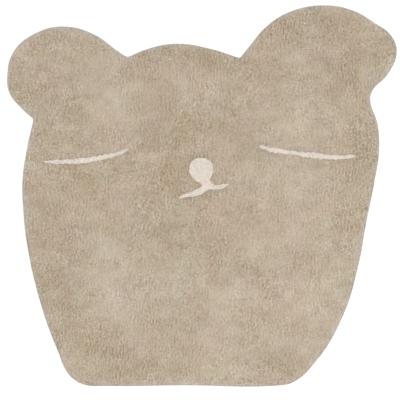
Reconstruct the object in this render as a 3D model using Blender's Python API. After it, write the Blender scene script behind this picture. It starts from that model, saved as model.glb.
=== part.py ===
"""Rug for a child's room in the shape of a bear's head, asleep.

It is a tufted rug: beige cut pile on a woven backing, with the closed eyes, the nose
and the mouth tufted in cream. It lies flat on the floor. Seen from above with the ears
at the far side, +X is to the right, +Y goes to the ears and +Z is up. The origin is on
the floor, under the middle of the rug's width and length.
The sizes and tables below are in millimetres.
"""

from collections import namedtuple

import bmesh
import bpy
from mathutils import Vector

MM = 0.001

# Build-up of the rug, from the floor
THICKNESS = 14.0  # to the tips of the pile
BACKING = 2.5  # woven cloth that holds the tufts
GAP = 0.3  # between areas of unlike yarn

# Rounding of the pile and the backing
PILE_EDGE = 6.0  # at the rug's own edge
PILE_EDGE_STEPS = 3
UNDERSIDE_EDGE = 1.5
CARVED_EDGE = 1.5  # along both sides of each cream area
CARVED_STEPS = 2

# Straight steps between two points of a curve
OUTLINE_STEPS = 5
STROKE_STEPS = 5
WELD = 1e-5

BEIGE = (0.50, 0.41, 0.31)
CREAM = (0.76, 0.69, 0.60)
YARN_ROUGHNESS = 0.95

Point = namedtuple("Point", "where x y kind")
Station = namedtuple("Station", "where x y width")

# The head's outline, clockwise from the notch between the left ear and the forehead.
# A smooth point is passed evenly, and the outline breaks at a notch.
OUTLINE = (
    Point("left forehead notch", -230, 427, "notch"),
    Point("forehead, left", -160, 455, "smooth"),
    Point("forehead, top", -78, 469, "smooth"),
    Point("forehead, right", 20, 455, "smooth"),
    Point("right forehead notch", 117, 424, "notch"),
    Point("right ear, inner foot", 150, 466, "smooth"),
    Point("right ear, inner side", 196, 520, "smooth"),
    Point("right ear, inner shoulder", 268, 566, "smooth"),
    Point("right ear, top", 372, 587, "smooth"),
    Point("right ear, outer shoulder", 468, 570, "smooth"),
    Point("right ear, slope", 532, 532, "smooth"),
    Point("right ear, corner", 580, 497, "smooth"),
    Point("right ear, outermost", 600, 443, "smooth"),
    Point("right ear, outer side", 568, 369, "smooth"),
    Point("right ear, outer foot", 526, 326, "smooth"),
    Point("right temple", 518, 296, "smooth"),
    Point("right brow", 541, 222, "smooth"),
    Point("right cheek", 546, 142, "smooth"),
    Point("right cheek, lower", 533, 52, "smooth"),
    Point("right side", 507, -78, "smooth"),
    Point("right jaw", 480, -222, "smooth"),
    Point("right jaw, lower", 434, -370, "smooth"),
    Point("right chin", 345, -517, "smooth"),
    Point("right chin corner", 278, -575, "smooth"),
    Point("lower edge, right end", 230, -584, "smooth"),
    Point("lower edge, middle", -50, -583, "smooth"),
    Point("lower edge, left end", -295, -585, "smooth"),
    Point("left chin corner", -362, -581, "smooth"),
    Point("left chin, lower", -408, -552, "smooth"),
    Point("left chin", -443, -480, "smooth"),
    Point("left jaw", -500, -320, "smooth"),
    Point("left cheek, lower", -540, -140, "smooth"),
    Point("left cheek, middle", -550, -45, "smooth"),
    Point("left cheek", -553, 45, "smooth"),
    Point("left brow", -536, 160, "smooth"),
    Point("left temple notch", -518, 236, "notch"),
    Point("left ear, outer foot", -557, 271, "smooth"),
    Point("left ear, outer side", -594, 320, "smooth"),
    Point("left ear, outermost", -599, 372, "smooth"),
    Point("left ear, corner", -582, 441, "smooth"),
    Point("left ear, outer shoulder", -518, 498, "smooth"),
    Point("left ear, top", -423, 522, "smooth"),
    Point("left ear, inner shoulder", -325, 494, "smooth"),
    Point("left ear, inner foot", -262, 448, "smooth"),
)

# Each tufted stroke is a row of stations with its width there. The ends are rounded.
LEFT_EYELID = (
    Station("outer tip", -486, 105, 5),
    Station("outer third", -440, 105, 12),
    Station("middle", -362, 110, 15.5),
    Station("inner third", -296, 120, 14),
    Station("inner rise", -254, 132, 11),
    Station("inner tip", -227, 144, 5.5),
)
RIGHT_EYELID = (
    Station("inner tip", 177, 153, 6),
    Station("inner third", 218, 142, 13),
    Station("inner middle", 276, 133, 13),
    Station("middle", 350, 124, 16),
    Station("outer third", 398, 119, 14.5),
    Station("outer rise", 438, 120, 11.5),
    Station("outer tip", 470, 123, 5.5),
)
MOUTH_LEFT = (
    Station("under the nose", 16, 28, 15),
    Station("bend", 1, 18.5, 20.5),
    Station("full", -24, 7.5, 18),
    Station("thin", -49, 2.5, 11),
    Station("tip", -70, -5.5, 6.5),
)
MOUTH_RIGHT = (
    Station("under the nose", 12, 30, 14),
    Station("middle", 42, 26, 12.5),
    Station("full", 64, 30, 14),
    Station("rise", 74, 33, 9.5),
    Station("tip", 82, 36.5, 5),
)
BRIDGE = (
    Station("in the nose", 0, 66, 46),
    Station("neck", 6.5, 50.5, 34),
    Station("turn", 18, 36, 25),
    Station("mouth", 31, 28.5, 17),
)
NOSE = (
    Point("top", -2, 117.5, "smooth"),
    Point("upper right", 26, 107.5, "smooth"),
    Point("right", 34, 86, "smooth"),
    Point("lower right", 27.5, 58, "smooth"),
    Point("bottom", 6, 40, "smooth"),
    Point("lower left", -28, 55, "smooth"),
    Point("left", -39.5, 86, "smooth"),
    Point("upper left", -30, 107.5, "smooth"),
)

HANDLES = {"smooth": "AUTO", "notch": "VECTOR"}


def clear_scene():
    for obj in list(bpy.data.objects):
        bpy.data.objects.remove(obj, do_unlink=True)


def new_collection(name):
    collection = bpy.data.collections.new(name)
    bpy.context.scene.collection.children.link(collection)
    return collection


def yarn(name, colour):
    material = bpy.data.materials.new(name)
    material.use_nodes = True
    shader = material.node_tree.nodes["Principled BSDF"]
    shader.inputs["Base Color"].default_value = (*colour, 1)
    shader.inputs["Roughness"].default_value = YARN_ROUGHNESS
    shader.inputs["Metallic"].default_value = 0
    return material


def evaluated_mesh(obj):
    """The object's mesh with its curve and modifiers worked out, in its own space."""
    bpy.context.view_layer.update()
    graph = bpy.context.evaluated_depsgraph_get()
    return bpy.data.meshes.new_from_object(obj.evaluated_get(graph))


def slab(name, collection, points, steps, bottom, top):
    """A closed outline, filled and raised between two heights, as a mesh object."""
    curve = bpy.data.curves.new(name, "CURVE")
    curve.dimensions = "2D"
    curve.fill_mode = "BOTH"
    curve.extrude = (top - bottom) / 2 * MM
    curve.resolution_u = steps
    spline = curve.splines.new("BEZIER")
    spline.bezier_points.add(len(points) - 1)
    spline.use_cyclic_u = True
    for knot, point in zip(spline.bezier_points, points):
        knot.co = (point.x * MM, point.y * MM, 0)
        knot.handle_left_type = HANDLES[point.kind]
        knot.handle_right_type = HANDLES[point.kind]
    drawn = bpy.data.objects.new(name, curve)
    drawn.location.z = (bottom + top) / 2 * MM
    collection.objects.link(drawn)

    mesh = evaluated_mesh(drawn)
    solid = bpy.data.objects.new(name + " solid", mesh)
    solid.matrix_world = drawn.matrix_world
    collection.objects.link(solid)
    bpy.data.objects.remove(drawn, do_unlink=True)
    solid.name = name
    merge_caps(solid)
    return solid


def merge_caps(obj):
    """Welds each cap to the walls and makes it one face, so that a bevel runs cleanly."""
    shape = bmesh.new()
    shape.from_mesh(obj.data)
    bmesh.ops.remove_doubles(shape, verts=shape.verts, dist=WELD)
    shape.normal_update()
    for side in (-1, 1):
        level = [face for face in shape.faces if face.normal.z * side > 0.999]
        bmesh.ops.dissolve_faces(shape, faces=level)
    shape.to_mesh(obj.data)
    shape.free()


def outer_ring(points, extra):
    """A closed outline that runs clockwise, with its points moved outwards."""
    ring = []
    for i, point in enumerate(points):
        before = points[i - 1]
        after = points[(i + 1) % len(points)]
        way = Vector((after.x - before.x, after.y - before.y)).normalized()
        x = point.x - way.y * extra
        y = point.y + way.x * extra
        ring.append(Point(point.where, x, y, point.kind))
    return ring


def stroke_ring(stations, extra):
    """The outline round a row of stations, half of each width to either side."""
    middle = [Vector((station.x, station.y)) for station in stations]
    along = [
        (middle[min(i + 1, len(middle) - 1)] - middle[max(i - 1, 0)]).normalized()
        for i in range(len(middle))
    ]
    across = [Vector((-way.y, way.x)) for way in along]
    half = [station.width / 2 + extra for station in stations]
    left = [m + a * h for m, a, h in zip(middle, across, half)]
    right = [m - a * h for m, a, h in zip(middle, across, half)]
    start = middle[0] - along[0] * half[0]
    end = middle[-1] + along[-1] * half[-1]
    ring = [start, *left, end, *reversed(right)]
    return [Point("stroke", corner.x, corner.y, "smooth") for corner in ring]


def combine(target, other, operation):
    """Joins the other object to the target, or cuts it out, and applies the result."""
    boolean = target.modifiers.new(operation.lower(), "BOOLEAN")
    boolean.operation = operation
    boolean.solver = "EXACT"
    boolean.object = other
    mesh = evaluated_mesh(target)
    target.modifiers.remove(boolean)
    old = target.data
    target.data = mesh
    bpy.data.meshes.remove(old)


def tufted_area(name, collection, outlines, bottom, top):
    """One upright solid from outlines that overlap."""
    first, *others = outlines
    solid = slab(name, collection, first, STROKE_STEPS, bottom, top)
    for outline in others:
        part = slab(name + " part", collection, outline, STROKE_STEPS, bottom, top)
        combine(solid, part, "UNION")
        bpy.data.objects.remove(part, do_unlink=True)
        merge_caps(solid)
    return solid


def cream_outlines(extra):
    """The outlines of each cream area, moved outwards by the extra distance."""
    strokes = (BRIDGE, MOUTH_LEFT, MOUTH_RIGHT)
    return {
        "left_eyelid": [stroke_ring(LEFT_EYELID, extra)],
        "right_eyelid": [stroke_ring(RIGHT_EYELID, extra)],
        "nose_and_mouth": [
            outer_ring(NOSE, extra),
            *(stroke_ring(stations, extra) for stations in strokes),
        ],
    }


def bevel_rims(obj, height, width, steps):
    """Rounds each edge at this height where a level face meets an upright wall."""
    shape = bmesh.new()
    shape.from_mesh(obj.data)
    shape.normal_update()
    level = height * MM - obj.location.z
    rims = []
    for edge in shape.edges:
        if any(abs(vert.co.z - level) > WELD for vert in edge.verts):
            continue
        slopes = sorted(abs(face.normal.z) for face in edge.link_faces)
        if slopes[0] < 0.01 and slopes[-1] > 0.99:
            rims.append(edge)
    bmesh.ops.bevel(
        shape,
        geom=rims,
        offset=width * MM,
        segments=steps,
        profile=0.5,
        affect="EDGES",
    )
    shape.to_mesh(obj.data)
    shape.free()


def finish(obj, material):
    obj.data.materials.clear()
    obj.data.materials.append(material)
    obj.data.shade_smooth()
    obj.data.set_sharp_from_angle(angle=0.6)


def build():
    clear_scene()
    rug = new_collection("bear-shaped rug")
    cutters = new_collection("pocket cutters")
    beige = yarn("beige pile", BEIGE)
    cream = yarn("cream pile", CREAM)

    # The rug itself, with the pile rounded at its edge
    body = slab("rug_body", rug, OUTLINE, OUTLINE_STEPS, 0, THICKNESS)
    bevel_rims(body, THICKNESS, PILE_EDGE, PILE_EDGE_STEPS)
    bevel_rims(body, 0, UNDERSIDE_EDGE, 1)

    # Each cream area stands on the backing in a pocket of its own
    pockets = cream_outlines(GAP)
    for name, outlines in cream_outlines(0).items():
        area = tufted_area(name, rug, outlines, BACKING + GAP, THICKNESS)
        bevel_rims(area, THICKNESS, CARVED_EDGE, CARVED_STEPS)
        finish(area, cream)
        cutter = tufted_area(name + " pocket", cutters, pockets[name], BACKING, 2 * THICKNESS)
        cutter.hide_render = True
        cutter.display_type = "WIRE"
        combine(body, cutter, "DIFFERENCE")

    # The pile is carved round the pockets too
    bevel_rims(body, THICKNESS, CARVED_EDGE, CARVED_STEPS)
    finish(body, beige)


build()
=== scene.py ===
"""The bear-shaped rug as it looks: cut pile, tuft by tuft, on its woven backing.

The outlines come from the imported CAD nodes. Points that stand for tufts are set out
between them, and each tuft is the cell round its point: a domed tip, its shoulders and
the valleys that it shares with its neighbours. Lengths in the tables are in millimetres
where nothing else is said, and the pieces are in metres.
"""

import math

import bmesh
import bpy
import numpy as np
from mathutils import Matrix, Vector, geometry, kdtree


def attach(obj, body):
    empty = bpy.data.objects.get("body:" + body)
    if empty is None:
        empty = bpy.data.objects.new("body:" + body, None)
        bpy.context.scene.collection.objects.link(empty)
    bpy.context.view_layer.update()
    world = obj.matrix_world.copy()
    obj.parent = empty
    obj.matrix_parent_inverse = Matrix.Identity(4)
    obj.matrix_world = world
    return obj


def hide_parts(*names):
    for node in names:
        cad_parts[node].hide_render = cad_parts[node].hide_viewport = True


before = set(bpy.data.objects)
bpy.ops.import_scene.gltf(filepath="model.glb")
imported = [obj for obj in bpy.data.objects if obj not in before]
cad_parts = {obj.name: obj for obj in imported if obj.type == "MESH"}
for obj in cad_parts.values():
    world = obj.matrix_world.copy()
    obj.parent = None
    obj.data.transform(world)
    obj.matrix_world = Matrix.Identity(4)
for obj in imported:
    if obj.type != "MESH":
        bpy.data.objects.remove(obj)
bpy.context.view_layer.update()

MM = 0.001
rng = np.random.default_rng(20)

# Build-up of the rug, as in the CAD
THICKNESS = 14.0
BACKING = 2.5
UNDERSIDE_EDGE = 1.5
CREAM_FOOT = 2.8  # where the cream solids start
PILE_EDGE = 6.0
CREAM_NODES = ("left_eyelid", "right_eyelid", "nose_and_mouth")

# Lines read from the CAD
WELD = 1e-6  # metres within which two points are one
SAME_HEIGHT = 1e-5
UPRIGHT = 0.1  # the most that an upright wall's normal points up or down
LINE_STEP = 0.5  # between a line's points
OUTLINE_SOFTENING = 4.0  # of the corners
CREAM_SOFTENING = 1.2
TURN_SPAN = 4  # to either side of a point, to see whether the line turns back there
TURNED_BACK = -0.3  # cosine between the two ways outwards, at most

# Which triangles geometry.delaunay_2d_cdt gives
WHOLE_HULL, ENCLOSED, ENCLOSED_LESS_HOLES = 0, 1, 2
SAME_TUFT = 1e-5  # apart, at most, where two points count as one
SAME_POINT = 1e-6

# Setting out of the tufts
HALF_FIELD = 620  # from the middle to the last column, and to the ends of each
COLUMN = 4.25  # between columns of tufts
PITCH = 5.9  # between tufts in a column
COLUMN_SHARES = (0.11, -0.44, 0.99, -0.44, 0.11)  # of a column and its neighbours
JITTER = 0.3  # of a column and a pitch, either way
ROW_SPACING = 4.7  # along the outline
CREAM_ROW_SPACING = 4.4
ROW_JITTER = 0.22
CREAM_ROW_JITTER = 0.15
FIRST_ROW = 2.4  # inside an edge
SECOND_ROW = 7.0
ROW_GIVE = 0.9  # how much nearer the outline a tuft of a row may come
CLEAR_OF_EDGE = 10.2  # the columns' tufts
CLEAR_OF_CREAM = 5.6
CLOSEST = 4.2  # between tufts, other than two of the columns'
FILL_STEP = 1.1  # between the places tried in a gap
EDGE_FILL = (2, 16)  # depths within the line, between which gaps are filled
CREAM_FILL = (-14, 14)
LEAST_FROM_LINE = 1.8  # of the line that a tuft is set along
LEAST_DEPTH = 1.5  # of any tuft within the outline
LEAST_OUTSIDE = 1.9  # of the places outside the rug
FAR_OUTSIDE = -1000.0  # before any cream line is compared

# Form of a tuft
TIP_DROP, TIP_SPREAD = 0.35, 0.4
SHOULDER_DROP, SHOULDER_SPREAD = 0.6, 0.3
VALLEY_DROP, VALLEY_SPREAD = 2.6, 0.4
GAP_DEPTH = 1.6  # more in the gaps between clumps
GAP_RUN = 7.0  # how soon a gap ends along its column
GAP_SWING = 1.15
GAP_LIMITS = (-0.6, 1.4)
HIGHEST_TIP = 0.6  # above the CAD's top
FULLER = 0.6  # how much nearer the edge than the CAD's top the pile rounds off
SHOULDER_REACH, SHOULDER_REACH_SPREAD = 0.67, 0.05
CORNER_SPREAD = 0.03  # of the reach, from corner to corner of a tuft
SHOULDER_SHARE = 0.6  # of the valley's depth in a shoulder's
TIP_LEAN, SHOULDER_LEAN = 0.8, 0.45  # how much of the nap's lean each has
LEAN_SPREAD = 0.22
LEAN_UP = -0.35  # the nap lies towards the chin

# The cream's edge and the groove round it
CARVED_VALLEY, CARVED_SPREAD = 8.5, 0.5  # height of the groove between cream and beige
GROOVE, GROOVE_SPREAD = -0.5, 0.2  # its place, just outside the cream
GROOVE_BAND = 6  # from a cream line, within which a valley is moved to its groove
EVENING_PASSES, EVENING_SHARE = 3, 0.5
CREAM_REACH = 0.88  # of cream shoulders, towards the groove
RAGGED = {"left_eyelid": 3.2, "right_eyelid": 3.2, "nose_and_mouth": 1.3}
RAGGED_CELL = (4.4, 4.4)  # how soon the cream's edge turns in and out
END_REACH = 18  # from a stroke's end, where its edge is calmer and slimmer
END_CALM = 0.75
END_TRIM = 0.5

# The rug's edge, scalloped by its outermost tufts
EDGE_AT_TUFT = 0.1  # depth within the outline of a valley outside one tuft
EDGE_BETWEEN = 1.38  # and of one between two
LIP, LIP_SPREAD = 7.2, 0.4  # height of the outermost valleys
LIP_NOTCH = 0.8  # lower between two tufts
WAIST = 4.6  # height of the wall's middle
WAIST_BULGE = 0.25
FOOT = 2.2
FOOT_INSET = 1.3
FOOT_EVENING = 0.4  # share of the scallops that the foot doesn't have
UNUSED_DEPTH = 50.0  # of the triangles that lie wholly outside the rug

# The baked map of a piece of pile: the top in sections, then strips for the rest
SECTIONS = 3
MAP_MARGIN = 6.0  # round a section, in the rug's millimetres
TOP_SHARE = 0.90
RIM_STRIP = (0.905, 0.940)
JOIN_STRIP = (0.945, 0.955)
UNDER_STRIP = (0.960, 1.0)
# The cloth's
CLOTH_UNDER_STRIP = (0.0, 0.880)
CLOTH_WALL_STRIP = (0.885, 0.910)
CLOTH_TOP_STRIP = (0.915, 1.0)

# Painted sheen and shade of the nap, in units of its clouds, and painted shade of the carved
# groove: darker round the cream, more so at the nose
# Painted shade of the carved groove, on the beige pile outside each cream part
SHADE_BY_GROOVE = {"left_eyelid": 0.2, "right_eyelid": 1.1, "nose_and_mouth": 0.0}
SHADE_BY_GROOVE_AT_NOSE = 1.9
NOSE_RISE = (40, 60)  # y between which that sets in beside the nose
DARKEST_BESIDE = 8  # outside the cream's line
DARK_WIDTH = 3.6
NOSE_SHADE = -0.4  # the nose's nap, a little darker than the mouth's
MOUTH_SHADE = -0.15
MOUTH_RISE = (20, 34)  # y between which the one turns into the other
ROUGH_BY_NAP = 0.12  # how much less rough the pile is where the nap is light
ROUGH_LIMITS = (0.45, 1.9)

# Shade of each tuft
DARK_TUFTS, DARKER = 0.03, 1.6  # their share of the tufts, and their own shade
STREAK_RUN = 10.0  # how soon a streak ends along its column
DARK_STREAK = 1.8  # how much stronger a dark streak is than a light one
OWN_SHARE = 0.8  # of a tuft's own shade
UNLIKE = 0.8  # how much it keeps off its neighbours' shades
HEART = (7, 16)  # depths within the cream between which the nose's greyer middle sets in
HEART_CALM = 0.5  # share of a tuft's tone that it loses there
# Painted shade at the rug's rounded edge: darker and greyer near it
RIM_REACH = 8.0  # how far in from the edge the greyer rim fades
RIM_UPWARD = 1.7  # how soon it shows as a face turns up from the wall

# How hollow each place is, for the painted shade of the materials: 0 at a tip
HOLLOW_SHOULDER, HOLLOW_WALL, HOLLOW_FOOT = 0.3, 0.5, 0.8
HOLLOW_DEPTH = 4.0  # of a valley that counts as 1
HOLLOW_LIMITS = (0.4, 1.3)

# The cloth under the pile
CLOTH_STEP, CLOTH_SOFTENING = 2.4, 1.0  # of its edge
# Depth within the outline and height, from the underside up
CLOTH_EDGE = ((2.8, 0.0), (2.2, 0.25), (1.95, 1.25), (2.2, 2.25), (2.8, BACKING))
CLOTH_GRID = 40.0  # between its inner points
CLOTH_REACH = 600  # of them, from the middle
CLOTH_MARGIN = 12  # from them to the outline
THREAD = 1.6

# The camera, as in the photograph
PHOTO_HEIGHT = 1.243  # metres from top to bottom of the frame
AIM = (-0.00615, -0.01846)
AIM_HEIGHT = 0.007
LENS = 85.0
SENSOR = 36.0
CLIP = (0.05, 100)

# The light and the floor, in metres
SKY_STRENGTH = 0.95
LAMP_SIZE = 3.0
LAMP_POWER = 85.0
LAMP_PLACE = (0.4, -0.3, 3.4)
FLOOR_RADIUS = 30


# ---------------------------------------------------------------- small sums


def ramp(values, start, end):
    """0 up to the start, 1 from the end on, and rising evenly between."""
    return np.clip((values - start) / (end - start), 0, 1)


def twice_area(a, b, c):
    """Twice a triangle's area seen from above, below 0 where it runs clockwise."""
    return (b[..., 0] - a[..., 0]) * (c[..., 1] - a[..., 1]) - (
        b[..., 1] - a[..., 1]
    ) * (c[..., 0] - a[..., 0])


def upward(triangles, where):
    """The same triangles, each with its corners anticlockwise."""
    clockwise = twice_area(*(where[triangles[:, k]] for k in range(3))) < 0
    triangles[clockwise] = triangles[clockwise][:, ::-1]
    return triangles


# ---------------------------------------------------------------- lines seen from above


class Ring:
    """A closed line seen from above, run anticlockwise, with its way outwards.

    What is said of its depth or of a place beside it counts from a ragged line, which
    lies inwards of the smooth one by the length in ragged.
    """

    def __init__(self, points):
        ahead = np.roll(points, -1, axis=0)
        turn = np.sum(points[:, 0] * ahead[:, 1] - ahead[:, 0] * points[:, 1])
        self.points = points if turn > 0 else points[::-1].copy()
        along = np.roll(self.points, -1, axis=0) - np.roll(self.points, 1, axis=0)
        along /= np.linalg.norm(along, axis=1)[:, None]
        self.outwards = np.column_stack((along[:, 1], -along[:, 0]))
        steps = np.linalg.norm(np.roll(self.points, -1, axis=0) - self.points, axis=1)
        self.length = steps.sum()
        self.ragged = np.zeros(len(points))
        self.tree = kdtree.KDTree(len(self.points))
        for i, (x, y) in enumerate(self.points):
            self.tree.insert((x, y, 0), i)
        self.tree.balance()

    def nearest(self, where):
        return np.array([self.tree.find((x, y, 0))[1] for x, y in where])

    def depth(self, where):
        """How far inside the line each point lies, and the way outwards there."""
        near = self.nearest(where)
        away = where - self.points[near]
        out = self.outwards[near]
        side = np.sum(away * out, axis=1)
        return -np.copysign(np.linalg.norm(away, axis=1), side) - self.ragged[near], out

    def ends(self, reach):
        """1 where the line turns back at a stroke's end, fading over a length from there."""
        steps = round(TURN_SPAN * len(self.points) / self.length)
        before = np.roll(self.outwards, steps, axis=0)
        after = np.roll(self.outwards, -steps, axis=0)
        convex = before[:, 0] * after[:, 1] > before[:, 1] * after[:, 0]
        ends = self.points[convex & (np.sum(before * after, axis=1) < TURNED_BACK)]
        apart = np.linalg.norm(self.points[:, None] - ends, axis=2).min(axis=1)
        return np.exp(-((apart / reach) ** 2))

    def beside(self, inside, count, phase=0.0):
        """Points at even steps along the line, moved inwards."""
        step = (np.arange(count) + phase) / count * len(self.points)
        low = np.floor(step).astype(int) % len(self.points)
        part = (step - np.floor(step))[:, None]
        high = (low + 1) % len(self.points)
        base = self.points[low] * (1 - part) + self.points[high] * part
        out = self.outwards[low] * (1 - part) + self.outwards[high] * part
        out /= np.linalg.norm(out, axis=1)[:, None]
        return base - out * (inside + self.ragged[low])[:, None]


def even_steps(points, step, soften):
    """A closed line at even steps, with its corners softened over a length."""
    closed = np.vstack((points, points[:1]))
    lengths = np.linalg.norm(np.diff(closed, axis=0), axis=1)
    run = np.concatenate(([0], np.cumsum(lengths)))
    count = int(round(run[-1] / step))
    at = np.arange(count) / count * run[-1]
    line = np.column_stack([np.interp(at, run, closed[:, k]) for k in (0, 1)])
    waves = np.fft.fftfreq(count, d=run[-1] / count)
    keep = np.exp(-2 * (math.pi * waves * soften) ** 2)[:, None]
    return np.real(np.fft.ifft(np.fft.fft(line, axis=0) * keep, axis=0))


def upright_ring(node, height, soften):
    """The line where a node's upright wall starts, at a height."""
    shape = bmesh.new()
    shape.from_mesh(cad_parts[node].data)
    bmesh.ops.remove_doubles(shape, verts=shape.verts, dist=WELD)
    shape.normal_update()
    ways = {}
    for edge in shape.edges:
        level = all(abs(vert.co.z - height * MM) < SAME_HEIGHT for vert in edge.verts)
        walls = [face for face in edge.link_faces if abs(face.normal.z) < UPRIGHT]
        if level and len(walls) == 1:
            one, other = edge.verts
            ways.setdefault(one.index, []).append(other.index)
            ways.setdefault(other.index, []).append(one.index)
    start = min(ways)
    walk = [start, ways[start][0]]
    while walk[-1] != start:
        ahead = [i for i in ways[walk[-1]] if i != walk[-2]]
        walk.append(ahead[0])
    shape.verts.ensure_lookup_table()
    points = np.array([shape.verts[i].co[:2] for i in walk[:-1]]) / MM
    shape.free()
    return Ring(even_steps(points, LINE_STEP, soften))


outline = upright_ring("rug_body", UNDERSIDE_EDGE, OUTLINE_SOFTENING)
creams = {name: upright_ring(name, CREAM_FOOT, CREAM_SOFTENING) for name in CREAM_NODES}


# ---------------------------------------------------------------- clouds of light and shade


CLOUDS_FROM = 3000.0  # far enough from the middle for every cell's number to be positive
COLUMNS_FROM = 700


def cloud(where, cell, seed):
    """Smooth noise from -1 to 1 over points, in cells of (width, height)."""
    dice = np.random.default_rng(seed)
    at = where / cell + CLOUDS_FROM / np.array(cell)
    low = np.floor(at).astype(int)
    size = low.max(axis=0) + 2
    table = dice.uniform(-1, 1, size)
    part = at - low
    part = part * part * (3 - 2 * part)
    x, y = low.T
    u, v = part.T
    near = table[x, y] * (1 - u) + table[x + 1, y] * u
    far = table[x, y + 1] * (1 - u) + table[x + 1, y + 1] * u
    return near * (1 - v) + far * v


def clouds(where, layers):
    """The sum of some clouds, each with its strength, cell and seed."""
    return sum(strength * cloud(where, cell, seed) for strength, cell, seed in layers)


def along_columns(where, length, seed, offset=0.0):
    """Noise that runs along the columns of tufts and changes from each to the next."""
    column = np.floor((where[:, 0] + COLUMNS_FROM) / COLUMN + offset)
    return sum(
        share * cloud(np.column_stack((column + k, where[:, 1])), (1.0, length), seed)
        for k, share in enumerate(COLUMN_SHARES, -2)
    )


for name, ring in creams.items():
    end = ring.ends(END_REACH)
    waves = cloud(ring.points, RAGGED_CELL, seed=14)
    ring.ragged = RAGGED[name] * (1 - END_CALM * end) * waves + END_TRIM * end


# Strength, cell and seed of each cloud
NAP_CLOUDS = (
    (0.3, (190, 150), 1),
    (0.2, (84, 70), 2),
    (0.9, (38, 30), 3),
    (0.7, (23, 19), 4),
)
WANDER_ACROSS = ((2.2, (90, 120), 5), (0.5, (17, 40), 15))
WANDER_ALONG = ((2.2, (120, 90), 6), (1.1, (22, 30), 16))
LEAN_ACROSS_CLOUDS = ((0.35, (60, 60), 7),)
LEAN_UP_CLOUDS = ((0.45, (45, 60), 8),)
ROUGH_CLOUDS = ((0.35, (50, 45), 13),)

PATCH_STRENGTH = 1.6  # of all the patches
PATCH_FALL = 1.3  # how slowly they fade beyond their half widths
# Where the painted sheen and shade of the nap are darker or lighter: x, y, half width, half
# height, strength
NAP_PATCHES = (
    # the face and forehead
    (-95, 45, 60, 75, -1.3),
    (-98, 205, 75, 60, -1.1),
    (-168, 178, 38, 38, 0.4),
    (60, 235, 50, 55, -0.5),
    (120, 170, 55, 45, -0.6),
    (25, -30, 50, 60, -0.7),
    (-95, 440, 110, 30, -0.9),
    (20, 430, 70, 30, -0.6),
    (10, 345, 60, 40, 0.4),
    (-270, 315, 60, 75, 0.8),
    (-330, 245, 45, 50, 0.3),
    # the ear on the left
    (-395, 490, 50, 40, 0.1),
    (-395, 395, 35, 60, 0.1),
    (-560, 450, 45, 45, 0.7),
    (-560, 365, 40, 35, -0.2),
    (-400, 250, 42, 75, -0.5),
    # the ear on the right
    (230, 480, 65, 50, -0.8),
    (350, 530, 95, 40, -0.7),
    (460, 500, 60, 60, -0.7),
    (170, 385, 60, 55, -0.9),
    (435, 400, 60, 50, -1.0),
    (440, 320, 60, 50, -0.5),
    (568, 440, 40, 45, -0.7),
    # the cheeks
    (-520, 55, 30, 55, 0.4),
    (-390, 70, 60, 35, -0.8),
    (-275, 45, 60, 45, -0.4),
    (-190, -75, 65, 45, -0.6),
    (-231, -105, 45, 50, 0.4),
    (-498, -12, 35, 50, -0.4),
    (300, 215, 65, 55, 0.8),
    (410, 215, 40, 40, 0.4),
    (348, 195, 26, 45, -0.5),
    (285, 35, 75, 65, 0.6),
    (490, 105, 45, 75, -0.9),
    (440, -75, 45, 65, -0.6),
    (375, -110, 35, 60, 0.5),
    # the jaw and chin
    (-90, -150, 70, 45, -0.9),
    (5, -165, 35, 55, -0.5),
    (185, -135, 55, 30, 0.4),
    (-495, -180, 45, 80, -0.6),
    (-440, -240, 45, 75, -0.5),
    (-370, -166, 35, 38, -0.7),
    (-410, -370, 60, 75, -0.5),
    (-290, -190, 55, 50, 0.7),
    (-280, -315, 75, 80, 0.9),
    (-100, -270, 70, 45, 0.5),
    (95, -300, 70, 45, 0.4),
    (330, -320, 85, 65, 0.9),
    (209, -422, 45, 42, 0.5),
    (440, -70, 40, 45, -0.4),
    (62, -470, 45, 45, 1.0),
    (-320, -430, 65, 45, -0.8),
    (-255, -495, 45, 40, -0.5),
    (-155, -535, 60, 50, -0.6),
    (-150, -465, 50, 40, 0.5),
    (-375, -510, 55, 50, 0.4),
    (205, -510, 65, 40, -0.8),
    (100, -550, 65, 35, 0.4),
)


def nap_shade(where):
    """The slow painted sheen and shade of the nap, about -1 to 1."""
    shade = clouds(where, NAP_CLOUDS)
    for x, y, across, up, strength in NAP_PATCHES:
        away = ((where[:, 0] - x) / across) ** 2 + ((where[:, 1] - y) / up) ** 2
        shade += PATCH_STRENGTH * strength * np.exp(-away / PATCH_FALL)
    return shade


# ---------------------------------------------------------------- setting out the tufts


class Crowd:
    """Points that keep their distance, found again by the square they stand in."""

    def __init__(self, apart):
        self.apart = apart
        self.squares = {}

    def square(self, x, y):
        return int(math.floor(x / self.apart)), int(math.floor(y / self.apart))

    def add(self, x, y):
        self.squares.setdefault(self.square(x, y), []).append((x, y))

    def free(self, x, y):
        column, row = self.square(x, y)
        for i in (column - 1, column, column + 1):
            for j in (row - 1, row, row + 1):
                for a, b in self.squares.get((i, j), ()):
                    if (a - x) ** 2 + (b - y) ** 2 < self.apart**2:
                        return False
        return True


def lattice():
    """Tufts in columns up and down the rug, each column half a step from the next."""
    columns = np.arange(-HALF_FIELD, HALF_FIELD, COLUMN)
    rows = np.arange(-HALF_FIELD, HALF_FIELD, PITCH)
    x, y = np.meshgrid(columns, rows, indexing="ij")
    y = y + (np.arange(len(columns)) % 2)[:, None] * PITCH / 2
    points = np.column_stack((x.ravel(), y.ravel()))
    points += rng.uniform(-JITTER, JITTER, points.shape) * (COLUMN, PITCH)
    points[:, 0] += clouds(points, WANDER_ACROSS)
    points[:, 1] += clouds(points, WANDER_ALONG)
    return points


def inside_depths(points):
    """Depth within the outline and within the nearest cream line, and which that is."""
    from_edge, _ = outline.depth(points)
    from_cream = np.full(len(points), FAR_OUTSIDE)
    which = np.full(len(points), -1)
    for k, ring in enumerate(creams.values()):
        depth, _ = ring.depth(points)
        nearer = np.abs(depth) < np.abs(from_cream)
        from_cream[nearer] = depth[nearer]
        which[nearer] = k
    return from_edge, from_cream, which


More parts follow.
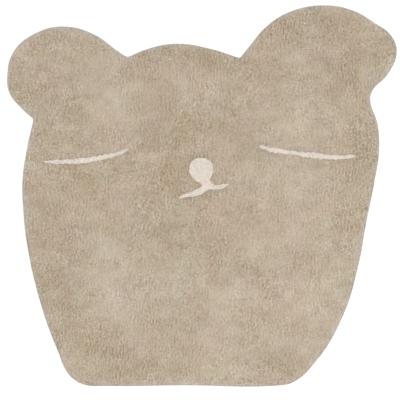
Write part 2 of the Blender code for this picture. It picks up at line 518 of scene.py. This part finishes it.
def set_out():
    """Every tuft's place, and the places outside the rug that bound the outermost."""
    groups = []
    count = int(round(outline.length / ROW_SPACING))
    for inside, phase in ((FIRST_ROW, 0.0), (SECOND_ROW, 0.5)):
        row = outline.beside(inside, count, phase)
        row += rng.normal(0, ROW_JITTER, row.shape)
        groups.append(row[outline.depth(row)[0] > inside - ROW_GIVE])
    for ring in creams.values():
        count = int(round(ring.length / CREAM_ROW_SPACING))
        for inside, phase in ((FIRST_ROW, 0.0), (-FIRST_ROW, 0.5)):
            row = ring.beside(inside, count, phase)
            row += rng.normal(0, CREAM_ROW_JITTER, row.shape)
            groups.append(row[np.abs(ring.depth(row)[0]) > LEAST_FROM_LINE])
    field = lattice()
    from_edge, from_cream, _ = inside_depths(field)
    keep = (from_edge > CLEAR_OF_EDGE) & (np.abs(from_cream) > CLEAR_OF_CREAM)
    field = field[keep]

    crowd = Crowd(CLOSEST)
    tufts = []
    for row in groups:
        for x, y in row:
            if crowd.free(x, y):
                crowd.add(x, y)
                tufts.append((x, y))
    for x, y in field:
        crowd.add(x, y)
    tufts.extend(map(tuple, field))

    # Gaps left between the rows and the field
    bands = [(outline, EDGE_FILL), *((ring, CREAM_FILL) for ring in creams.values())]
    for ring, band in bands:
        steps = int(ring.length / FILL_STEP)
        for inside in np.arange(*band, FILL_STEP):
            row = ring.beside(inside, steps, rng.uniform())
            depths = np.abs(ring.depth(row)[0])
            for (x, y), depth in zip(row, depths):
                if depth > LEAST_FROM_LINE and crowd.free(x, y):
                    crowd.add(x, y)
                    tufts.append((x, y))
    tufts = np.array(tufts)
    tufts = tufts[outline.depth(tufts)[0] > LEAST_DEPTH]

    count = int(round(outline.length / ROW_SPACING))
    ghosts = outline.beside(-FIRST_ROW, count, phase=0.5)
    ghosts = ghosts[outline.depth(ghosts)[0] < -LEAST_OUTSIDE]
    return tufts, ghosts


tufts, ghosts = set_out()
tuft_count = len(tufts)
seeds = np.vstack((tufts, ghosts))

edge_depth, cream_depth, cream_which = inside_depths(tufts)
BEIGE_BANDS = (
    "pile_chin",
    "pile_jaw",
    "pile_muzzle",
    "pile_eyes",
    "pile_brow",
    "pile_ears",
)
CREAM_PIECES = ("pile_left_eyelid", "pile_right_eyelid", "pile_nose_and_mouth")
OUTSIDE = -1
piece_of = np.full(len(seeds), OUTSIDE)
is_cream = cream_depth > 0
beige_heights = tufts[~is_cream, 1]
band_edges = np.quantile(beige_heights, np.arange(1, len(BEIGE_BANDS)) / len(BEIGE_BANDS))
piece_of[:tuft_count] = np.searchsorted(band_edges, tufts[:, 1])
cream_numbers = len(BEIGE_BANDS) + cream_which
piece_of[:tuft_count][is_cream] = cream_numbers[is_cream]
PIECES = BEIGE_BANDS + CREAM_PIECES


# ---------------------------------------------------------------- cells round the tufts

flat = [Vector(point) for point in seeds]
found = geometry.delaunay_2d_cdt(flat, [], [], WHOLE_HULL, SAME_TUFT)
if len(found[0]) != len(seeds):
    raise RuntimeError("two tufts stand in one place")
triangles = np.array([face for face in found[2] if len(face) == 3])
triangles = upward(triangles, seeds)
real = (triangles < tuft_count).any(axis=1)

# Sectors: each pair of neighbouring cells shares an edge between two valleys
starts = triangles.ravel()
ends = np.roll(triangles, -1, axis=1).ravel()
key = starts.astype(np.int64) * len(seeds) + ends
twin_key = ends.astype(np.int64) * len(seeds) + starts
order = np.argsort(key)
spot = np.searchsorted(key[order], twin_key)
spot = np.minimum(spot, len(key) - 1)
twin = np.where(key[order][spot] == twin_key, order[spot], -1)
sector = np.arange(len(starts))
this_triangle = sector // 3
twin_triangle = twin // 3
twin_corner = 3 * twin_triangle + (twin % 3 + 1) % 3

# Valleys: one where three cells meet
valley = seeds[triangles].mean(axis=1)
kinds = piece_of[triangles]
ghost_corners = (kinds == OUTSIDE).sum(axis=1)
cream_corners = (kinds >= len(BEIGE_BANDS)).sum(axis=1)
at_edge = real & (ghost_corners > 0)
at_cream = real & (cream_corners > 0) & (cream_corners < 3) & (ghost_corners == 0)

valley_depth = np.full(len(triangles), UNUSED_DEPTH)
edge_out = np.zeros_like(valley)
valley_depth[real], edge_out[real] = outline.depth(valley[real])
aim = np.where(ghost_corners == 2, EDGE_AT_TUFT, EDGE_BETWEEN)
move = (valley_depth - aim)[:, None] * edge_out
valley[at_edge] += move[at_edge]
valley_depth[at_edge] = aim[at_edge]
for ring in creams.values():
    index = np.flatnonzero(at_cream)
    depth, out = ring.depth(valley[index])
    close = np.abs(depth) < GROOVE_BAND
    index, depth, out = index[close], depth[close], out[close]
    aim = GROOVE + rng.normal(0, GROOVE_SPREAD, len(index))
    valley[index] += (depth - aim)[:, None] * out

# Even steps along the cream's edge, so that its line never turns back
round_cream = at_cream[this_triangle] & (
    (piece_of[starts] < len(BEIGE_BANDS)) != (piece_of[ends] < len(BEIGE_BANDS))
)
groove = this_triangle[round_cream][::2]
flanks = twin_triangle[round_cream].reshape(-1, 2)
for _ in range(EVENING_PASSES):
    one, other = valley[flanks[:, 0]], valley[flanks[:, 1]]
    way = other - one
    way /= np.linalg.norm(way, axis=1)[:, None]
    short = np.sum(((one + other) / 2 - valley[groove]) * way, axis=1)
    valley[groove] += EVENING_SHARE * short[:, None] * way


def surface(depth):
    """Height of the CAD's top at a depth within the outline."""
    inward = np.clip(PILE_EDGE - np.maximum(depth, 0), 0, PILE_EDGE)
    return THICKNESS - PILE_EDGE + np.sqrt(PILE_EDGE**2 - inward**2)


# Tips, shoulders and valleys, with the nap's lean
# Painted sheen and shade of the nap, lighter or darker by how the pile lies
nap = nap_shade(seeds)
# Painted shade of the carved groove, darkest a little outside the cream's line
by_nose = cream_which == list(creams).index("nose_and_mouth")
painted_groove_shade = np.array([SHADE_BY_GROOVE[name] for name in creams])[cream_which]
painted_groove_shade += SHADE_BY_GROOVE_AT_NOSE * (by_nose * ramp(tufts[:, 1], *NOSE_RISE))
nap[:tuft_count] -= painted_groove_shade * np.exp(
    -(((cream_depth + DARKEST_BESIDE) / DARK_WIDTH) ** 2)
)
nap[:tuft_count][is_cream] = 0
at_nose = piece_of == PIECES.index("pile_nose_and_mouth")
nose_share = ramp(seeds[at_nose, 1], *MOUTH_RISE)
nap[at_nose] = MOUTH_SHADE + (NOSE_SHADE - MOUTH_SHADE) * nose_share
roughness = np.clip(
    1 - ROUGH_BY_NAP * nap + clouds(seeds, ROUGH_CLOUDS), *ROUGH_LIMITS
)
lean = np.column_stack((
    clouds(seeds, LEAN_ACROSS_CLOUDS),
    LEAN_UP + clouds(seeds, LEAN_UP_CLOUDS),
))
lean[:tuft_count] += rng.normal(0, LEAN_SPREAD, (tuft_count, 2))
tip_height = np.full(len(seeds), THICKNESS)
tip_height[:tuft_count] = (
    surface(edge_depth + FULLER) - TIP_DROP + rng.normal(0, TIP_SPREAD, tuft_count)
)
tip_height = np.minimum(tip_height, THICKNESS + HIGHEST_TIP)
tips = np.column_stack((seeds + lean * TIP_LEAN, tip_height))

reach = SHOULDER_REACH + rng.uniform(-1, 1, len(seeds)) * SHOULDER_REACH_SPREAD
corner_seeds = triangles.ravel()
corner_valleys = np.repeat(np.arange(len(triangles)), 3)
corner_reach = reach[corner_seeds] + rng.normal(0, CORNER_SPREAD, len(corner_seeds))
by_groove = (piece_of[corner_seeds] >= len(BEIGE_BANDS)) & at_cream[corner_valleys]
corner_reach[by_groove] = CREAM_REACH
shoulder = seeds[corner_seeds] + (
    valley[corner_valleys] - seeds[corner_seeds]
) * corner_reach[:, None]
shoulder += lean[corner_seeds] * SHOULDER_LEAN
seed_depth = np.zeros(len(seeds))
seed_depth[:tuft_count] = edge_depth
between = (1 - SHOULDER_SHARE) * seed_depth[corner_seeds]
between += SHOULDER_SHARE * valley_depth[corner_valleys]
drop_to_rim = surface(between + FULLER) - surface(seed_depth[corner_seeds] + FULLER)
shoulder_height = tip_height[corner_seeds] + drop_to_rim - SHOULDER_DROP
shoulder_height += rng.normal(0, SHOULDER_SPREAD, len(shoulder_height))
shoulders = np.column_stack((shoulder, shoulder_height))

gap = GAP_SWING * along_columns(valley, GAP_RUN, seed=10, offset=0.5)
gap = np.clip(gap, *GAP_LIMITS)
gap *= roughness[triangles].mean(axis=1)
valley_height = surface(valley_depth) - VALLEY_DROP - GAP_DEPTH * gap
valley_height -= rng.exponential(VALLEY_SPREAD, len(triangles))
valley_height[at_cream] = CARVED_VALLEY + rng.normal(0, CARVED_SPREAD, at_cream.sum())
valley_height[at_edge] = LIP + rng.normal(0, LIP_SPREAD, at_edge.sum())
valley_height[at_edge & (ghost_corners == 1)] -= LIP_NOTCH
valleys = np.column_stack((valley, valley_height))

waist = valley + edge_out * np.where(at_edge, WAIST_BULGE, 0)[:, None]
waists = np.column_stack((waist, np.where(at_edge, WAIST, (valley_height + FOOT) / 2)))
foot_inset = np.where(at_edge, FOOT_INSET - FOOT_EVENING * valley_depth, 0)
feet_flat = valley - edge_out * foot_inset[:, None]
feet = np.column_stack((feet_flat, np.full(len(triangles), FOOT)))

points = np.vstack((tips, shoulders, valleys, waists, feet))
first_shoulder = len(seeds)
first_valley = first_shoulder + len(shoulders)
first_waist = first_valley + len(valleys)
first_foot = first_waist + len(waists)


def around(values):
    """The average of each tuft's neighbours."""
    total = np.zeros(len(seeds))
    count = np.zeros(len(seeds))
    for one, other in ((0, 1), (1, 2), (2, 0)):
        for here, there in ((one, other), (other, one)):
            total += np.bincount(triangles[:, here], values[triangles[:, there]], len(seeds))
            count += np.bincount(triangles[:, here], minlength=len(seeds))
    return total / np.maximum(count, 1)


# What the materials read at each point
heart_seed = np.zeros(len(seeds))
heart_seed[:tuft_count] = ramp(cream_depth, *HEART)
streak = along_columns(seeds, STREAK_RUN, seed=9)
own = rng.normal(0, 1, len(seeds)) - DARKER * (rng.random(len(seeds)) < DARK_TUFTS)
streak = np.where(streak < 0, DARK_STREAK, 1.0) * streak
tone = roughness * (streak + OWN_SHARE * (own - UNLIKE * around(own)))
tone *= 1 - HEART_CALM * heart_seed


def over_points(of_seed, of_triangle):
    """A value at each point, from its tuft's value and its valley's."""
    return np.concatenate((
        of_seed,
        of_seed[corner_seeds],
        of_triangle,
        of_triangle,
        of_triangle,
    ))


tone_here = over_points(tone, tone[triangles].mean(axis=1))
# Painted shade: darker the deeper a place lies between the tufts, and down the wall
hollow_shade_here = np.concatenate((
    np.zeros(len(seeds)),
    np.full(len(shoulders), HOLLOW_SHOULDER),
    np.clip((THICKNESS - valley_height) / HOLLOW_DEPTH, *HOLLOW_LIMITS),
    np.full(len(waists), HOLLOW_WALL),
    np.full(len(feet), HOLLOW_FOOT),
))
# Painted sheen and shade of the nap
shade_here = over_points(nap, nap[triangles].mean(axis=1))
# Painted shade at the rounded edge, darker and greyer, fading inwards
rim_shade_seed = np.ones(len(seeds))
rim_shade_seed[:tuft_count] = np.exp(-np.maximum(edge_depth, 0) / RIM_REACH)
rim_shade_here = over_points(rim_shade_seed, rim_shade_seed[triangles].mean(axis=1))
heart_here = over_points(heart_seed, heart_seed[triangles].mean(axis=1))
VALUES = {
    "tone": tone_here,
    "hollow_shade": hollow_shade_here,
    "shade": shade_here,
    "rim": rim_shade_here,
    "heart": heart_here,
}


def cell_faces(mine):
    """The faces over the cells that these sectors belong to."""
    centre = starts[mine]
    near = first_shoulder + twin_corner[mine]
    far = first_shoulder + sector[mine]
    low = twin_triangle[mine]
    high = this_triangle[mine]
    crown = np.column_stack((centre, near, far))
    slope = np.column_stack((near, first_valley + low, first_valley + high, far))
    return crown, slope


def wall_faces(border):
    """The walls below these sectors' valleys."""
    low, high = twin_triangle[border], this_triangle[border]
    upper = np.column_stack((
        first_waist + low,
        first_waist + high,
        first_valley + high,
        first_valley + low,
    ))
    lower = np.column_stack((
        first_foot + low,
        first_foot + high,
        first_waist + high,
        first_waist + low,
    ))
    return np.vstack((upper, lower))


def face_normals(faces):
    """Each face's normal, as long as twice its area."""
    first, second, third, last = (points[faces[:, k]] for k in (0, 1, 2, -1))
    if faces.shape[1] == 3:
        return np.cross(second - first, third - first)
    return np.cross(third - first, last - second)


# One smooth normal for each point of the whole pile, so that no seam shows between pieces
on_pile = (piece_of[starts] != OUTSIDE) & (twin >= 0)
on_rim = on_pile & (piece_of[ends] == OUTSIDE)
point_normals = np.zeros_like(points)
for group in (*cell_faces(on_pile), wall_faces(on_rim)):
    normals = face_normals(group)
    for k in range(group.shape[1]):
        for axis in range(3):
            point_normals[:, axis] += np.bincount(
                group[:, k], normals[:, axis], len(points)
            )
lengths = np.linalg.norm(point_normals, axis=1)
point_normals[lengths > 0] /= lengths[lengths > 0][:, None]
# The painted rim shade shows on faces that turn up, and the wall keeps the pile's colour
rim_shade_here *= np.clip(RIM_UPWARD * point_normals[:, 2], 0, 1)


def sides(face):
    """A face's sides, each from one corner to the next."""
    return [(face[k - 1], face[k]) for k in range(len(face))]


def closed_underside(border):
    """Triangles that fill the feet's loops, facing down.

    The piece lies on the left of each pair in the border, so the triangles there are the
    first ones, and the others follow across sides that the border doesn't have.
    """
    used, local = np.unique(border, return_inverse=True)
    pairs = [tuple(int(i) for i in pair) for pair in local.reshape(border.shape)]
    corners = [Vector(point) for point in feet_flat[used]]
    result = geometry.delaunay_2d_cdt(corners, pairs, [], ENCLOSED, SAME_POINT)
    if len(result[0]) != len(used):
        raise RuntimeError("the underside's lines cross")
    back = [origin[0] for origin in result[3]]
    faces = []
    for face in result[2]:
        ids = [back[i] for i in face]
        anticlockwise = twice_area(*(feet_flat[used[i]] for i in ids)) > 0
        faces.append(ids if anticlockwise else ids[::-1])
    owner = {side: number for number, face in enumerate(faces) for side in sides(face)}
    fence = set(pairs)
    waiting = [owner[pair] for pair in pairs]
    inside = set(waiting)
    while waiting:
        for side in sides(faces[waiting.pop()]):
            beyond = owner.get(side[::-1])
            if side not in fence and beyond not in inside:
                inside.add(beyond)
                waiting.append(beyond)
    filled = np.array([faces[number] for number in sorted(inside)])
    return first_foot + used[filled[:, ::-1]]


# ---------------------------------------------------------------- places on the baked map


def top_places(faces, centres, low, high):
    """Where the top lies on the map: the piece in sections, one above the other."""
    step = (high[0] - low[0]) / SECTIONS
    section = np.clip((seeds[centres, 0] - low[0]) // step, 0, SECTIONS - 1)
    start = np.column_stack((low[0] + section * step, np.full(len(section), low[1])))
    size = (step + 2 * MAP_MARGIN, high[1] - low[1] + 2 * MAP_MARGIN)
    share = (points[faces, :2] - start[:, None] + MAP_MARGIN) / size
    share[..., 1] = (share[..., 1] + section[:, None]) / SECTIONS * TOP_SHARE
    return share


def wall_places(where, walls, strip):
    """Where walls lie on the map: side by side along a strip of it."""
    lengths = np.linalg.norm(where[walls[:, 1]] - where[walls[:, 0]], axis=1)
    run = np.concatenate(([0], np.cumsum(lengths))) / max(lengths.sum(), 1)
    across = np.column_stack((run[:-1], run[1:], run[1:], run[:-1]))
    up = np.broadcast_to((strip[0], strip[0], strip[1], strip[1]), across.shape)
    return np.stack((across, up), axis=-1)


def flat_places(where, faces, strip):
    """Where a flat side lies on the map: spread over a strip of it."""
    seen = where[faces, :2]
    low, high = seen.min(axis=(0, 1)), seen.max(axis=(0, 1))
    share = (seen - low) / (high - low)
    share[..., 1] = strip[0] + share[..., 1] * (strip[1] - strip[0])
    return share


def add_map(obj, places):
    """The map that the object's materials are baked through when it is exported."""
    layer = obj.data.uv_layers.new(name="OFBake")
    corners = np.concatenate([group.reshape(-1, 2) for group in places])
    layer.data.foreach_set("uv", corners.ravel().astype(np.float32))


def mesh_object(name, where, faces, material):
    """An object from points in metres and faces of three or four corners each."""
    mesh = bpy.data.meshes.new(name)
    corners = np.concatenate([group.ravel() for group in faces])
    sizes = np.concatenate([np.full(len(group), group.shape[1]) for group in faces])
    mesh.vertices.add(len(where))
    mesh.vertices.foreach_set("co", where.ravel())
    mesh.loops.add(len(corners))
    mesh.loops.foreach_set("vertex_index", corners.astype(np.int32))
    mesh.polygons.add(len(sizes))
    begins = np.concatenate(([0], np.cumsum(sizes)[:-1])).astype(np.int32)
    mesh.polygons.foreach_set("loop_start", begins)
    mesh.update(calc_edges=True)
    mesh.validate()
    mesh.shade_smooth()
    mesh.materials.append(material)
    obj = bpy.data.objects.new(name, mesh)
    bpy.context.scene.collection.objects.link(obj)
    return obj


def pile_piece(number, material):
    """One piece of the pile: its tufts' cells, its walls and its underside."""
    mine = on_pile & (piece_of[starts] == number)
    rim = mine & on_rim
    inner = mine & ~rim & (piece_of[ends] != number)
    border = rim | inner
    seen = [*cell_faces(mine), wall_faces(rim)]
    under = closed_underside(
        np.column_stack((twin_triangle[border], this_triangle[border]))
    )
    hidden = [wall_faces(inner), under]
    faces = seen + hidden
    centres = starts[mine]
    low, high = seeds[centres].min(axis=0), seeds[centres].max(axis=0)
    places = [top_places(group, centres, low, high) for group in seen[:2]]
    places += [
        wall_places(points, seen[2], RIM_STRIP),
        wall_places(points, hidden[0], JOIN_STRIP),
        flat_places(points, under, UNDER_STRIP),
    ]
    normals = [point_normals[group].reshape(-1, 3) for group in seen]
    for group in hidden:
        flat_normals = face_normals(group)
        flat_normals /= np.linalg.norm(flat_normals, axis=1)[:, None]
        normals.append(np.repeat(flat_normals, group.shape[1], axis=0))
    used, local = np.unique(
        np.concatenate([group.ravel() for group in faces]), return_inverse=True
    )
    split = np.cumsum([group.size for group in faces])[:-1]
    faces = [
        part.reshape(group.shape)
        for part, group in zip(np.split(local, split), faces)
    ]
    obj = mesh_object(PIECES[number], points[used] * MM, faces, material)
    obj.data.normals_split_custom_set(np.vstack(normals))
    add_map(obj, places)
    for name, values in VALUES.items():
        layer = obj.data.attributes.new(name, "FLOAT", "POINT")
        layer.data.foreach_set("value", values[used].astype(np.float32))
    return obj


# ---------------------------------------------------------------- materials


def blank_material(name):
    material = bpy.data.materials.new(name)
    material.use_nodes = True
    tree = material.node_tree
    shader = tree.nodes["Principled BSDF"]
    return material, tree, shader


def add(tree, kind, inputs=(), **settings):
    """A node with its settings, its constants and its links."""
    node = tree.nodes.new("ShaderNode" + kind)
    for name, value in settings.items():
        setattr(node, name, value)
    for socket, value in dict(inputs).items():
        if isinstance(value, bpy.types.NodeSocket):
            tree.links.new(value, node.inputs[socket])
        else:
            node.inputs[socket].default_value = value
    return node


def maths(tree, operation, *values):
    """What a Math node makes of its inputs."""
    return add(tree, "Math", enumerate(values), operation=operation).outputs[0]


def mixed(tree, share, one, other):
    """A share of the way from one colour to another, by the Mix node's colour sockets."""
    inputs = {0: share, 6: one, 7: other}
    return add(tree, "Mix", inputs, data_type="RGBA").outputs[2]


def scaled(tree, colour, factor):
    inputs = {0: colour, "Scale": factor}
    return add(tree, "VectorMath", inputs, operation="SCALE").outputs[0]


def multiplied(tree, one, other):
    return add(tree, "VectorMath", {0: one, 1: other}, operation="MULTIPLY").outputs[0]


def noise(tree, place, scale, detail=2.0, rough=0.5, stretch=None):
    """Noise over a place, first stretched where the cells aren't as wide as long."""
    if stretch is not None:
        place = add(tree, "Mapping", {"Vector": place, "Scale": stretch}).outputs[0]
    inputs = {"Vector": place, "Scale": scale, "Detail": detail, "Roughness": rough}
    return add(tree, "TexNoise", inputs).outputs[0]


def tinted(tree, amount, tint, base):
    """A base colour with an amount of a tint added."""
    inputs = {0: amount, 1: tint, 2: base}
    return add(tree, "VectorMath", inputs, operation="MULTIPLY_ADD").outputs[0]


# What a lighter tuft, and the painted sheen of a lighter lie of the nap, do to red, green
# and blue
TUFT_TINT = (0.91, 1.0, 1.19)
NAP_TINT = (0.81, 1.0, 1.32)
# Scale of each slow change of the dye, and what it does to red, green and blue
DYE_CHANGES = (
    (7.37, (0.06, 0.0, -0.08)),
    (31.37, (0.06, 0.0, -0.08)),
    (9.37, (0.05, -0.05, 0.05)),
    (33.37, (0.04, -0.04, 0.04)),
)
WHITE = (1.0, 1.0, 1.0)
# What is made from a noise: a share of it, and what that is added to
FIBRE_SHADE = (0.30, 0.85)
WISP_SHADE = (0.50, 0.75)
FIBRE_ROUGHNESS = (0.12, 0.86)
WEAVE_SHADE = (0.22, 0.82)


def yarn_material(name, tip, hollow_shade, rim, heart, tone_share, shade_share):
    """Cut cotton pile: its colour with painted shade by depth and painted sheen and shade of
    the nap, with fibres over it.
    """
    material, tree, shader = blank_material(name)
    value = {
        word: add(tree, "Attribute", attribute_name=word).outputs["Fac"] for word in VALUES
    }
    place = add(tree, "TexCoord").outputs["Object"]
    # Finest across the pile and drawn out along it
    fibres = noise(tree, place, 900, detail=3.0, rough=0.65, stretch=(1.0, 1.0, 0.3))
    wisps = noise(tree, place, 330, rough=0.6, stretch=(1.0, 0.5, 0.4))

    # Painted shade: darker down in the hollows between the tufts
    colour = mixed(tree, value["hollow_shade"], (*tip, 1), (*hollow_shade, 1))
    # Painted shade at the rounded edge: darker and greyer
    colour = mixed(tree, value["rim"], colour, (*rim, 1))
    colour = mixed(tree, value["heart"], colour, (*heart, 1))
    # Each tuft is lighter or darker, and the painted sheen and shade of the nap make it
    # lighter or darker too, greyer where lighter
    light = maths(tree, "MULTIPLY", value["tone"], tone_share)
    dyed = tinted(tree, light, TUFT_TINT, WHITE)
    light = maths(tree, "MULTIPLY", value["shade"], shade_share)
    dyed = tinted(tree, light, NAP_TINT, dyed)
    colour = multiplied(tree, colour, dyed)
    # The dye varies, warmer or cooler and greener or redder
    for scale, change in DYE_CHANGES:
        off = maths(tree, "SUBTRACT", noise(tree, place, scale), 0.5)
        colour = multiplied(tree, colour, tinted(tree, off, change, WHITE))
    fine = maths(tree, "MULTIPLY_ADD", fibres, *FIBRE_SHADE)
    soft = maths(tree, "MULTIPLY_ADD", wisps, *WISP_SHADE)
    bright = maths(tree, "MULTIPLY", fine, soft)
    tree.links.new(scaled(tree, colour, bright), shader.inputs["Base Color"])

    rough = maths(tree, "MULTIPLY_ADD", fibres, *FIBRE_ROUGHNESS)
    tree.links.new(rough, shader.inputs["Roughness"])
    shader.inputs["Specular IOR Level"].default_value = 0.2
    shader.inputs["Sheen Weight"].default_value = 0.12
    shader.inputs["Sheen Roughness"].default_value = 0.6
    height = maths(tree, "MULTIPLY_ADD", wisps, 0.6, fibres)
    bump = add(tree, "Bump", {"Strength": 0.5, "Distance": 0.0006, "Height": height})
    tree.links.new(bump.outputs[0], shader.inputs["Normal"])
    return material


beige_yarn = yarn_material(
    "beige_cut_pile",
    tip=(0.480, 0.4015, 0.311),
    # the colour of the painted shade in the hollows
    hollow_shade=(0.280, 0.231, 0.163),
    # the colour of the painted shade at the rounded edge
    rim=(0.419, 0.379, 0.351),
    heart=(0.480, 0.4015, 0.311),
    tone_share=0.078,
    shade_share=0.072,
)
cream_yarn = yarn_material(
    "cream_cut_pile",
    tip=(0.642, 0.580, 0.526),
    # the colour of the painted shade in the hollows
    hollow_shade=(0.550, 0.482, 0.415),
    rim=(0.642, 0.580, 0.526),
    heart=(0.585, 0.540, 0.485),
    tone_share=0.035,
    shade_share=0.072,
)


def backing_material():
    """Plain woven cotton: threads over and under in both directions."""
    material, tree, shader = blank_material("woven_backing")
    place = add(tree, "TexCoord").outputs["Object"]
    axes = add(tree, "SeparateXYZ", {0: place})
    waves = []
    for k in (0, 1):
        phase = maths(tree, "MULTIPLY", axes.outputs[k], math.pi / (THREAD * MM))
        waves.append(maths(tree, "SINE", phase))
    over = maths(tree, "MULTIPLY", waves[0], waves[1])
    ridges = maths(tree, "ADD", *(maths(tree, "ABSOLUTE", wave) for wave in waves))
    weave = maths(tree, "MULTIPLY_ADD", over, 0.35, maths(tree, "MULTIPLY", ridges, 0.5))
    slubs = noise(tree, place, 40, detail=3.0, rough=0.6, stretch=(1.0, 6.0, 1.0))
    soil = noise(tree, place, 6, detail=3.0, rough=0.6)
    share = maths(tree, "MULTIPLY_ADD", slubs, 0.6, maths(tree, "MULTIPLY", soil, 0.5))
    colour = mixed(tree, share, (0.66, 0.60, 0.50, 1), (0.50, 0.44, 0.35, 1))
    bright = maths(tree, "MULTIPLY_ADD", weave, *WEAVE_SHADE)
    tree.links.new(scaled(tree, colour, bright), shader.inputs["Base Color"])
    shader.inputs["Roughness"].default_value = 0.92
    shader.inputs["Specular IOR Level"].default_value = 0.2
    height = maths(tree, "MULTIPLY_ADD", slubs, 0.3, weave)
    bump = add(tree, "Bump", {"Strength": 0.7, "Distance": 0.0008, "Height": height})
    tree.links.new(bump.outputs[0], shader.inputs["Normal"])
    return material


def floor_material():
    material, tree, shader = blank_material("studio_floor")
    place = add(tree, "TexCoord").outputs["Object"]
    faint = noise(tree, place, 3.0)
    colour = mixed(tree, faint, (0.90, 0.90, 0.90, 1), (0.92, 0.92, 0.92, 1))
    tree.links.new(colour, shader.inputs["Base Color"])
    shader.inputs["Roughness"].default_value = 0.9
    shader.inputs["Specular IOR Level"].default_value = 0.1
    return material


# ---------------------------------------------------------------- pieces


def backing_piece():
    """The cloth under the pile, just inside its edge."""
    line = Ring(even_steps(outline.points, CLOTH_STEP, CLOTH_SOFTENING))
    count = len(line.points)
    rows = [
        np.column_stack((line.beside(inside, count), np.full(count, height)))
        for inside, height in CLOTH_EDGE
    ]
    where = np.vstack(rows)
    here = np.arange(count)
    ahead = (here + 1) % count
    walls = np.vstack([
        np.column_stack((here, ahead, ahead + count, here + count)) + k * count
        for k in range(len(rows) - 1)
    ])
    corners = [Vector(point) for point in rows[0][:, :2]]
    loop = list(zip(here.tolist(), ahead.tolist()))
    # A grid of points within, so that the cloth has no long slivers
    grid = np.arange(-CLOTH_REACH, CLOTH_REACH + 1, CLOTH_GRID)
    x, y = np.meshgrid(grid, grid)
    inner = np.column_stack((x.ravel(), y.ravel()))
    inner = inner[outline.depth(inner)[0] > CLOTH_MARGIN]
    corners += [Vector(point) for point in inner]
    result = geometry.delaunay_2d_cdt(corners, loop, [], ENCLOSED_LESS_HOLES, SAME_POINT)
    if len(result[0]) != len(corners):
        raise RuntimeError("the backing's edge crosses itself")
    cap = upward(np.array(result[2]), np.array(corners))
    edge_total = len(where)
    inner_low = np.column_stack((inner, np.zeros(len(inner))))
    inner_high = np.column_stack((inner, np.full(len(inner), BACKING)))
    where = np.vstack((where, inner_low, inner_high))

    def renumber(cap, first_edge, first_inner):
        return np.where(cap < count, cap + first_edge, cap - count + first_inner)

    low = renumber(cap[:, ::-1], 0, edge_total)
    high = renumber(cap, (len(rows) - 1) * count, edge_total + len(inner))
    obj = mesh_object("woven_backing", where * MM, [walls, low, high], backing_material())
    add_map(obj, (
        wall_places(where, walls, CLOTH_WALL_STRIP),
        flat_places(where, low, CLOTH_UNDER_STRIP),
        flat_places(where, high, CLOTH_TOP_STRIP),
    ))
    return obj


for number, name in enumerate(PIECES):
    is_beige = number < len(BEIGE_BANDS)
    piece = pile_piece(number, beige_yarn if is_beige else cream_yarn)
    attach(piece, "root")
    node = "rug_body" if is_beige else CREAM_NODES[number - len(BEIGE_BANDS)]
    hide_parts(node)

backing = backing_piece()
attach(backing, "root")
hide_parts("rug_body")


# ---------------------------------------------------------------- floor, light and camera


def studio_floor():
    mesh = bpy.data.meshes.new("studio_floor")
    shape = bmesh.new()
    bmesh.ops.create_circle(shape, cap_ends=True, radius=FLOOR_RADIUS, segments=96)
    shape.to_mesh(mesh)
    shape.free()
    mesh.materials.append(floor_material())
    obj = bpy.data.objects.new("studio_floor", mesh)
    bpy.context.scene.collection.objects.link(obj)
    return obj


floor = studio_floor()

world = bpy.data.worlds.new("studio")
world.use_nodes = True
world.node_tree.nodes["Background"].inputs["Color"].default_value = (1, 1, 1, 1)
world.node_tree.nodes["Background"].inputs["Strength"].default_value = SKY_STRENGTH
bpy.context.scene.world = world

lamp = bpy.data.lights.new("overhead_softbox", "AREA")
lamp.shape = "SQUARE"
lamp.size = LAMP_SIZE
lamp.energy = LAMP_POWER
lamp_object = bpy.data.objects.new("overhead_softbox", lamp)
lamp_object.location = LAMP_PLACE
lamp_object.rotation_euler = (-lamp_object.location).to_track_quat("-Z", "Y").to_euler()
bpy.context.scene.collection.objects.link(lamp_object)

camera_data = bpy.data.cameras.new("camera")
camera_data.lens = LENS
camera_data.sensor_width = SENSOR
camera_data.clip_start, camera_data.clip_end = CLIP
camera = bpy.data.objects.new("camera", camera_data)
camera.location = (*AIM, AIM_HEIGHT + PHOTO_HEIGHT * LENS / SENSOR)
bpy.context.scene.collection.objects.link(camera)
bpy.context.scene.camera = camera
bpy.context.scene.view_settings.view_transform = "Standard"

bpy.context.view_layer.update()
